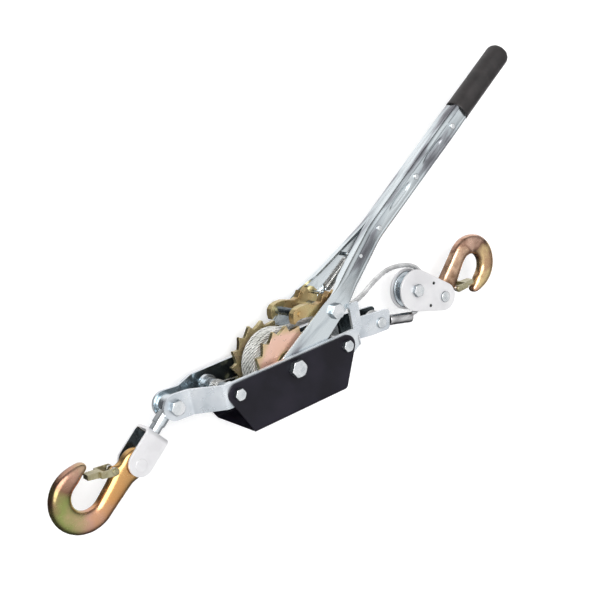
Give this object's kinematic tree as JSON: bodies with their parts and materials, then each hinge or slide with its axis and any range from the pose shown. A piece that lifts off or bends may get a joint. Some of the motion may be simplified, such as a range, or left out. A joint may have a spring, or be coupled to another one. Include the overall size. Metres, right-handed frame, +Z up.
{
  "type": "cable puller",
  "caption": "Hand ratchet cable puller with a lever handle, wire rope drum, black guard, pulley block and two latched hooks.",
  "frame": {"origin": "centre of the bounding box on the surface that the tool lies on, flat on its far side", "axes": "+X from the front hook towards the pulley block, +Y from the guard towards the raised handle, +Z up along the drum axle"},
  "size_m": [0.7695, 0.3868, 0.1033],
  "materials": {
    "black_guard": "satin",
    "black_grip": "matte",
    "wire_rope": "satin",
    "aluminium_ferrule": "satin",
    "yellow_zinc": "satin",
    "spring_steel": "satin",
    "bush_bronze": "satin",
    "bright_zinc": "satin"
  },
  "bodies": {
    "frame": {"side_plate_near": "bright_zinc", "side_plate_far": "bright_zinc", "guard": "black_guard", "axle_bolt": "bright_zinc", "axle_nut": "bright_zinc", "guard_bolts": "bright_zinc", "guard_nuts": "bright_zinc", "front_spacer_tube": "bright_zinc", "rear_spacer_tube": "bright_zinc", "front_bolt": "bright_zinc", "front_nut": "bright_zinc", "anchor_pin": "bright_zinc", "anchor_pin_clip": "bright_zinc", "rope_span": "wire_rope", "rope_eye": "wire_rope", "rope_thimble": "bright_zinc", "rope_ferrule": "aluminium_ferrule", "stop_pawl_spring": "spring_steel"},
    "drum": {"ratchet_wheel_near": "yellow_zinc", "ratchet_wheel_far": "yellow_zinc", "drum_spool": "yellow_zinc", "drum_bush": "bush_bronze", "rope_coil": "wire_rope"},
    "handle": {"handle_half_near": "bright_zinc", "handle_half_far": "bright_zinc", "handle_grip": "black_grip", "handle_rivets": "bright_zinc", "pawl_bolt": "bright_zinc", "pawl_nut": "bright_zinc", "spring_anchor_pin": "bright_zinc", "drive_pawl_spring": "spring_steel"},
    "drive_pawl": {"drive_claw_near": "yellow_zinc", "drive_claw_far": "yellow_zinc", "pawl_hub_tube": "yellow_zinc", "pawl_cross_pin": "yellow_zinc", "pawl_spring_pin": "bright_zinc"},
    "stop_pawl": {"stop_claw_near": "yellow_zinc", "stop_claw_far": "yellow_zinc", "stop_pawl_hubs": "bright_zinc", "stop_pawl_web": "yellow_zinc"},
    "hook_link": {"hook_link": "bright_zinc", "swivel_nut": "bright_zinc"},
    "bracket": {"hook_bracket": "bright_zinc", "bracket_pin": "bright_zinc"},
    "front_hook": {"front_hook": "yellow_zinc", "front_latch_rivet": "bright_zinc", "front_latch_spring": "spring_steel"},
    "front_latch": {"front_latch": "bright_zinc"},
    "pulley_block": {"block_cheek_near": "bright_zinc", "block_cheek_far": "bright_zinc", "sheave_bolt": "bright_zinc", "sheave_nut": "bright_zinc", "sheave_bush": "bush_bronze", "cheek_rivets": "bright_zinc", "block_pin": "bright_zinc"},
    "sheave": {"sheave": "bright_zinc"},
    "rear_hook": {"rear_hook": "yellow_zinc", "rear_latch_rivet": "bright_zinc", "rear_latch_spring": "spring_steel"},
    "rear_latch": {"rear_latch": "bright_zinc"}
  },
  "joints": [
    {"name": "drum_spin", "type": "hinge", "parent": "frame", "child": "drum", "pos_m": [-0.0737, -0.1025, 0.054], "axis": [0, 0, 1], "continuous": true},
    {"name": "handle_swing", "type": "hinge", "parent": "frame", "child": "handle", "pos_m": [-0.0737, -0.1025, 0.054], "axis": [0, 0, 1], "range_deg": [-1, 90]},
    {"name": "drive_pawl_pivot", "type": "hinge", "parent": "handle", "child": "drive_pawl", "pos_m": [0.002, -0.0583, 0.054], "axis": [0, 0, 1], "range_deg": [-22, 3.3], "stiffness_Nm_per_rad": 0.06, "springref_deg": 22.92, "deforming": ["drive_pawl_spring"]},
    {"name": "stop_pawl_pivot", "type": "hinge", "parent": "frame", "child": "stop_pawl", "pos_m": [-0.1567, -0.1025, 0.054], "axis": [0, 0, 1], "range_deg": [-24, 8], "stiffness_Nm_per_rad": 0.05, "springref_deg": 34.38, "deforming": ["stop_pawl_spring"]},
    {"name": "front_link_pivot", "type": "hinge", "parent": "frame", "child": "hook_link", "pos_m": [-0.2227, -0.098, 0.054], "axis": [0, 0, 1], "range_deg": [-45, 45]},
    {"name": "front_swivel", "type": "hinge", "parent": "hook_link", "child": "bracket", "pos_m": [-0.2227, -0.098, 0.054], "axis": [-0.7869, -0.617, 0], "continuous": true},
    {"name": "front_hook_pivot", "type": "hinge", "parent": "bracket", "child": "front_hook", "pos_m": [-0.2807, -0.1435, 0.054], "axis": [0, 0, 1], "range_deg": [-55, 55]},
    {"name": "front_latch_pivot", "type": "hinge", "parent": "front_hook", "child": "front_latch", "pos_m": [-0.30916, -0.14025, 0.054], "axis": [0, 0, 1], "range_deg": [0, 36], "stiffness_Nm_per_rad": 0.03, "springref_deg": -28.65},
    {"name": "pulley_block_swing", "type": "hinge", "parent": "frame", "child": "pulley_block", "pos_m": [0.1523, -0.085, 0.054], "axis": [0, 0, 1], "range_deg": [-8, 20], "deforming": ["rope_span"]},
    {"name": "sheave_spin", "type": "hinge", "parent": "pulley_block", "child": "sheave", "pos_m": [0.1523, -0.085, 0.054], "axis": [0, 0, 1], "continuous": true},
    {"name": "rear_hook_pivot", "type": "hinge", "parent": "pulley_block", "child": "rear_hook", "pos_m": [0.1978, -0.1087, 0.054], "axis": [0, 0, 1], "range_deg": [-55, 40]},
    {"name": "rear_latch_pivot", "type": "hinge", "parent": "rear_hook", "child": "rear_latch", "pos_m": [0.2264, -0.10721, 0.054], "axis": [0, 0, 1], "range_deg": [0, 36], "stiffness_Nm_per_rad": 0.03, "springref_deg": -28.65}
  ]
}
